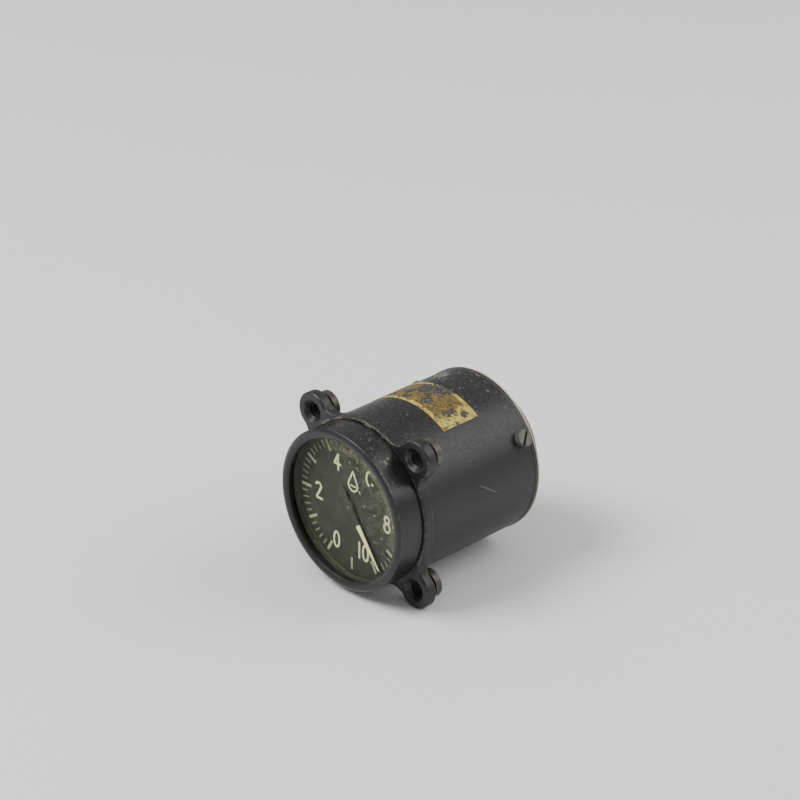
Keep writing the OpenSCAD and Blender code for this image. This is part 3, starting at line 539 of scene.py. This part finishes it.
def window_glass():
    """Cover glass: clear, faintly mirroring, with olive bloom and dust on its inside at the upper right."""
    s = Surface("window_glass", 0.06)
    s.tree.nodes.remove(s.shader)
    leaving = s.add("NewGeometry").outputs["Backfacing"]
    inner_face = s.step(s.xyz[1], GLASS_BACK - 0.4, GLASS_BACK - 0.2)
    rim = s.step(s.radius(), OPENING_R - 7.5, OPENING_R - 4)
    upper_right = s.step(s.toward(BLOOM_SIDE), 3, 16)
    patchy = s.step(s.noise(2.4, 91, 6), 0.38, 0.62)
    bloom = s.product(rim, upper_right, s.blend(patchy, 0.5, 1.0), 0.64)
    ring = s.step(s.radius(), OPENING_R - 2.2, OPENING_R - 0.2)
    ring = s.product(ring, s.step(s.noise(2, 93, 5), 0.4, 0.7), 0.25)
    film = s.product(s.step(s.toward(DUST_SIDE), -18, 4), s.blend(patchy, 0.01, 0.04))
    dots = s.product(s.specks(1.3, 0.9, 0.4, 92), s.blend(upper_right, 0.1, 0.75))
    fine = s.product(s.specks(0.8, 0.6, 0.55, 97), s.step(s.toward(FINE_DUST_SIDE), -3, 9), 0.55)
    grime = s.product(s.either(bloom, ring, film, dots, fine), inner_face)
    clear = s.add("BsdfTransparent", {"Color": (0.98, 0.995, 0.975, 1)}).outputs[0]
    mirror = s.add("BsdfGlossy", {"Roughness": 0.06}).outputs[0]
    tint = s.mix(s.step(s.noise(3, 94), 0.35, 0.65), shade(120, 118, 92), shade(136, 136, 116))
    dust = s.add("BsdfDiffuse", {"Color": tint}).outputs[0]
    entering = s.math("SUBTRACT", 1.0, leaving)
    gloss = s.product(s.add("Fresnel", {"IOR": GLASS_IOR}).outputs[0], entering, MIRROR_SHARE)
    pane = s.add("MixShader", {0: gloss, 1: clear, 2: mirror}).outputs[0]
    surface = s.add("MixShader", {0: grime, 1: pane, 2: dust}).outputs[0]
    s.tree.links.new(surface, s.tree.nodes["Material Output"].inputs["Surface"])
    return s.material


# Distance aimed at between two points of a straight stroke, points round a stroke, and steps of its rounded
# ends with the share of a step by which they stop short of a point
STRETCH = 0.3
SIDES = 12
CAP_STEPS = 4
CAP_OPEN = 0.4

# Least and most of its nominal width that a brushed stroke has
WIDTH_SPREAD = (0.93, 1.06)

# Where the arc of a closed stroke ends: short of its start, because stroke joins the two
ROUND = 345


def arc(centre_x, centre_z, half_w, half_h, start, end, steps):
    """Points of an elliptic arc between two clock angles."""
    points = []
    for i in range(steps + 1):
        angle = math.radians(start + (end - start) * i / steps)
        points.append((centre_x + half_w * math.sin(angle), centre_z + half_h * math.cos(angle)))
    return points


def line(*points):
    """Points along straight stretches, close enough for a stroke to taper round its ends."""
    out = [points[0]]
    for (x0, z0), (x1, z1) in zip(points, points[1:]):
        count = max(2, round(math.hypot(x1 - x0, z1 - z0) / STRETCH))
        out += [(x0 + (x1 - x0) * i / count, z0 + (z1 - z0) * i / count) for i in range(1, count + 1)]
    return out


def stroke(mesh_parts, points, width, height, front, closed=False):
    """Adds to the vertices and faces of mesh_parts a raised stroke, along points in the plane of the dial."""
    rng = random.Random(len(mesh_parts[0]) + 7)
    count = len(points)
    rows = []
    for i, (x, z) in enumerate(points):
        if closed:
            before, after = points[i - 1], points[(i + 1) % count]
        else:
            before, after = points[max(i - 1, 0)], points[min(i + 1, count - 1)]
        along = Vector((after[0] - before[0], after[1] - before[1])).normalized()
        rows.append((Vector((x, z)), along, width / 2 * rng.uniform(*WIDTH_SPREAD)))
    if not closed:
        first, last = rows[0], rows[-1]
        head, tail = [], []
        for k in range(CAP_STEPS, 0, -1):
            turn = math.pi / 2 * k / (CAP_STEPS + CAP_OPEN)
            reach, share = math.sin(turn), math.cos(turn)
            head.append((first[0] - first[1] * first[2] * reach, first[1], first[2] * share))
            tail.append((last[0] + last[1] * last[2] * reach, last[1], last[2] * share))
        rows = head + rows + tail[::-1]
    verts, faces = mesh_parts
    start = len(verts)
    for place, along, half in rows:
        side = Vector((-along.y, along.x))
        for k in range(SIDES):
            turn = 2 * math.pi * k / SIDES
            flat = place + side * half * math.cos(turn)
            raised = height * math.sin(turn) * min(1, half / width * 2)
            verts.append((flat.x * MM, (front - raised) * MM, flat.y * MM))
    loops = len(rows) if closed else len(rows) - 1
    for i in range(loops):
        for k in range(SIDES):
            a = start + i * SIDES + k
            b = start + i * SIDES + (k + 1) % SIDES
            c = start + (i + 1) % len(rows) * SIDES + (k + 1) % SIDES
            d = start + (i + 1) % len(rows) * SIDES + k
            faces.append((a, b, c, d))
    if not closed:
        faces.append(tuple(start + k for k in reversed(range(SIDES))))
        faces.append(tuple(start + (len(rows) - 1) * SIDES + k for k in range(SIDES)))


def piece(name, mesh_parts, material, body):
    """A new object from vertices and faces, riding on a CAD body."""
    mesh = bpy.data.meshes.new(name)
    mesh.from_pydata(mesh_parts[0], [], mesh_parts[1])
    mesh.validate()
    mesh.shade_smooth()
    mesh.materials.append(material)
    made = bpy.data.objects.new(name, mesh)
    bpy.context.scene.collection.objects.link(made)
    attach(made, body)


STROKE_W = 0.92
NUMERAL_H = 5.9
NUMERAL_W = 2.6
PAINT_H = 0.1

# Widths of the unit mark's outline, its level line and the dot beside it
OUTLINE_W, LEVEL_W, DOT_W = STROKE_W * 0.8, STROKE_W * 0.7, 0.6


def numeral_strokes(digit):
    """The strokes of a digit about its centre, as (points, closed). The 6 is half lost, with a scrap left."""
    w, h = NUMERAL_W / 2, NUMERAL_H / 2
    if digit == "0":
        return [(arc(0, 0, w, h, 0, ROUND, 24), True)]
    if digit == "1":
        return [(line((0, h), (0, -h)), False)]
    if digit == "2":
        bowl = arc(-0.1, h - w, w, w, -62, 128, 14)
        neck = line(bowl[-1], (-w + 0.2, -h + 0.25))[1:]
        foot = line((-w + 0.2, -h), (w + 0.25, -h))[1:]
        return [(bowl + neck + foot, False)]
    if digit == "4":
        return [
            (line((0.55, h), (-w, -0.75), (w + 0.35, -0.75)), False),
            (line((0.55, h), (0.55, -h)), False),
        ]
    if digit == "6":
        return [
            (arc(0.1, -0.1, w + 0.1, h - 0.3, -165, 5, 16), False),
            (line((1.5, -1.75), (1.62, -1.95)), False),
        ]
    return [
        (arc(0, h - 1.25, w - 0.2, 1.25, 0, ROUND, 20), True),
        (arc(0, -h + 1.6, w + 0.05, 1.65, 0, ROUND, 20), True),
    ]


# Each digit with the place of its centre on the dial, right of and above the axis
DIGITS = (
    ("0", -7.6, -16.1),
    ("2", -16.4, -0.3),
    ("4", -7.0, 14.4),
    ("6", 8.8, 13.8),
    ("8", 17.4, -0.5),
    ("1", 3.7, -15.9),
    ("0", 6.8, -16.0),
)


def paint_numerals(material):
    """Numerals in raised luminous paint, and the unit mark: the outline of a drop with a level line in it."""
    digits = ([], [])
    for digit, x, z in DIGITS:
        for points, closed in numeral_strokes(digit):
            placed = [(x + px, z + pz) for px, pz in points]
            stroke(digits, placed, STROKE_W, PAINT_H, DIAL_FRONT, closed)
    piece("dial_numerals", digits, material, "instrument")

    drop_x, drop_z, drop_r, drop_top = 0.8, 8.2, 2.25, 5.3
    lean = math.degrees(math.acos(drop_r / drop_top))
    bulb = arc(drop_x, drop_z, drop_r, drop_r, lean, 360 - lean, 20)
    tip = (drop_x, drop_z + drop_top)
    outline = bulb + line(bulb[-1], tip)[1:] + line(tip, bulb[0])[1:-1]
    mark = ([], [])
    stroke(mark, outline, OUTLINE_W, PAINT_H, DIAL_FRONT, True)
    level_half, level_z = 1.2, drop_z - 0.3
    level = line((drop_x - level_half, level_z), (drop_x + level_half, level_z))
    stroke(mark, level, LEVEL_W, PAINT_H, DIAL_FRONT)
    stroke(mark, line((4.0, 6.75), (4.1, 6.7)), DOT_W, PAINT_H, DIAL_FRONT)
    piece("unit_mark", mark, material, "instrument")


def seal_bead(material):
    """Old sealing compound squeezed out between dial and spacer ring, low on the left, in three runs."""
    rng = random.Random(4)
    bead = ([], [])
    bead_w, bead_h, waves, off_ring, steps = 0.42, 0.22, 0.004, 0.12, 40
    bead_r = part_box("spacer_ring")[1].x / MM - SPACER_W - off_ring
    for start, end in ((186, 219), (222, 250), (254, 262)):
        points = arc(0, 0, bead_r, bead_r, start, end, steps)
        wavy = [(x * (1 - rng.uniform(0, waves)), z * (1 - rng.uniform(0, waves))) for x, z in points]
        stroke(bead, wavy, bead_w, bead_h, DIAL_FRONT)
    piece("seal_bead", bead, material, "instrument")


def block_lip(material):
    """The moulded lip round the terminal block's rear edge, seated on the rounding of the block.

    Its profile is in radii and depths, from the inner edge of its rear face outwards and round.
    """
    outer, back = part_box("terminal_block")[1].x / MM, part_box("terminal_block")[1].y / MM
    inner, front, sunk = outer - 1.9, back - 2, 0.02
    nose, nose_steps, around = 0.25, 6, 180
    profile = [(inner, back - sunk), (outer - 1.5, back)]
    for i in range(nose_steps + 1):
        turn = math.pi / 2 * i / nose_steps
        profile.append((outer - nose + nose * math.sin(turn), back - nose + nose * math.cos(turn)))
    profile += [(outer, back - 1.6), (outer - sunk, front), (outer - 1.2, front), (inner, back - 1.2)]
    verts, faces = [], []
    for i in range(around):
        turn = 2 * math.pi * i / around
        verts += [(r * math.sin(turn) * MM, y * MM, r * math.cos(turn) * MM) for r, y in profile]
    count = len(profile)
    for i in range(around):
        for k in range(count):
            here, there = i * count, (i + 1) % around * count
            faces.append((here + k, there + k, there + (k + 1) % count, here + (k + 1) % count))
    piece("block_lip", (verts, faces), material, "instrument")


def sealing_compound():
    s = Surface("sealing_compound", 0.6)
    s.colour(s.mix(s.noise(1.4, 95, 4), shade(112, 104, 58), shade(80, 74, 44)))
    s.bump(s.noise(0.3, 96), 0.04)
    return s.material


def aim_camera():
    """The photograph's camera, from its direction and distance and the pixel of the bezel's front centre."""
    azimuth, elevation = math.radians(45.78), math.radians(26.76)
    distance, focal_px, photo_px, sensor_mm = 969 * MM, 2854, 800, 36
    bezel_px = Vector((339.1, 511.5))
    level = math.cos(elevation)
    back = Vector((math.sin(azimuth) * level, -math.cos(azimuth) * level, math.sin(elevation)))
    right = Vector((math.cos(azimuth), math.sin(azimuth), 0))
    up = back.cross(right)
    aside = (bezel_px - Vector((photo_px / 2, photo_px / 2))) * distance / focal_px
    place = Vector((0, BEZEL_FRONT * MM, 0)) + back * distance - right * aside.x + up * aside.y
    camera = bpy.data.objects.new("camera", bpy.data.cameras.new("camera"))
    camera.data.sensor_width = sensor_mm
    camera.data.lens = sensor_mm * focal_px / photo_px
    camera.data.clip_start = 0.05
    camera.matrix_world = Matrix((right, up, back)).transposed().to_4x4()
    camera.matrix_world.translation = place
    bpy.context.scene.collection.objects.link(camera)
    bpy.context.scene.camera = camera


def softbox(name, place, aim, size, power):
    """A round lamp of a given width in metres, at a place and turned to an aim."""
    data = bpy.data.lights.new(name, "AREA")
    data.shape = "DISK"
    data.size = size
    data.energy = power
    lamp = bpy.data.objects.new(name, data)
    lamp.location = place
    lamp.rotation_euler = (Vector(aim) - Vector(place)).to_track_quat("-Z", "Y").to_euler()
    bpy.context.scene.collection.objects.link(lamp)


# Each lamp's place and width in metres and its power in watts, and the place that they are turned to
LAMPS = (("lamp_key", (-0.62, -0.82, 1.25), 0.9, 25.5), ("lamp_rear_right", (0.66, 0.83, 0.77), 1.1, 9.4))
LAMP_AIM = (0, 0.02, 0)


def set_stage():
    """A plain pale floor and studio, with a soft lamp at the dial's upper left and one at the rear right."""
    half = 4.0
    corners = [(-half, -half, 0), (half, -half, 0), (half, half, 0), (-half, half, 0)]
    mesh = bpy.data.meshes.new("floor")
    mesh.from_pydata(corners, [], [(0, 1, 2, 3)])
    surface = Surface("floor", 0.6)
    surface.specular(0.2)
    surface.colour(surface.mix(surface.noise(180, 99), shade(243, 243, 244), shade(247, 247, 248)))
    mesh.materials.append(surface.material)
    floor = bpy.data.objects.new("floor", mesh)
    floor.location.z = FLOOR * MM
    bpy.context.scene.collection.objects.link(floor)

    world = bpy.data.worlds.new("studio")
    world.use_nodes = True
    world.node_tree.nodes["Background"].inputs["Color"].default_value = shade(182, 182, 183)
    bpy.context.scene.world = world

    for name, place, size, power in LAMPS:
        softbox(name, place, LAMP_AIM, size, power)


# Bare metals: name, tone, tarnish, roughness, seed and metallic share, then the pieces made of each
METALS = (
    ("screw_plate", (104, 105, 97), (84, 84, 75), 0.5, 111, 0.35, ("cover_screws",)),
    (
        "bright_brass", (168, 146, 92), (118, 100, 64), 0.4, 121, 0.75,
        ("terminal_studs", "terminal_washers", "terminal_nuts", "rotor_bush"),
    ),
    (
        "plain_steel", (150, 150, 146), (112, 110, 104), 0.4, 131, 0.75,
        ("block_screws", "pointer_shaft", "chassis_screws", "tie_bolts"),
    ),
    (
        "bridge_alloy", (186, 186, 180), (150, 148, 140), 0.42, 141, 0.75,
        ("front_bridge", "rear_bridge", "front_spacers", "rear_spacers"),
    ),
    ("magnet_alloy", (108, 108, 110), (84, 82, 80), 0.45, 151, 0.75, ("magnet_rotor", "parking_magnet")),
    ("lamination_iron", (96, 96, 100), (72, 68, 62), 0.45, 161, 0.75, ("stator_core",)),
    ("sheet_copper", (184, 108, 72), (132, 80, 56), 0.35, 171, 0.75, ("damping_cup",)),
)


aim_camera()
set_stage()

dress(bezel_paint(), "bezel_ring")
dress(case_paint(), "case_body")
dress(cover_paint(), "rear_cover")
# Painted reflection: the spacer ring's black is painted a lighter olive-grey on its shaded inner wall
dress(plain_enamel("spacer_black", (60, 61, 54), 0.7, 18.0), "spacer_ring")
dress(dial_paint(), "dial_plate")
dress(scale_paint(), "scale_marks")
dress(window_glass(), "cover_glass")
dress(rubber(), "glass_gasket")
dress(foil(), "data_label")
moulding = phenolic()
dress(moulding, "terminal_block")
dress(nut_brass(), "captive_nuts")
for *looks, pieces in METALS:
    dress(bare_metal(*looks), *pieces)
dress(winding(), "stator_coils", "stator_leads")
dress(jewel(), "front_jewel", "rear_jewel")

dress(plain_enamel("pointer_black", (60, 62, 56), 0.85, 22.0), "pointer_blade", "pointer_hub")
dress(lume_paint("pointer_lume", (255, 255, 176), (236, 236, 150), 0.15, 6)[0].material, "pointer_lume")

numeral_lume = lume_paint("numeral_lume", (232, 236, 186), (140, 140, 106), 0.5)[0].material
paint_numerals(numeral_lume)
seal_bead(sealing_compound())
block_lip(moulding)
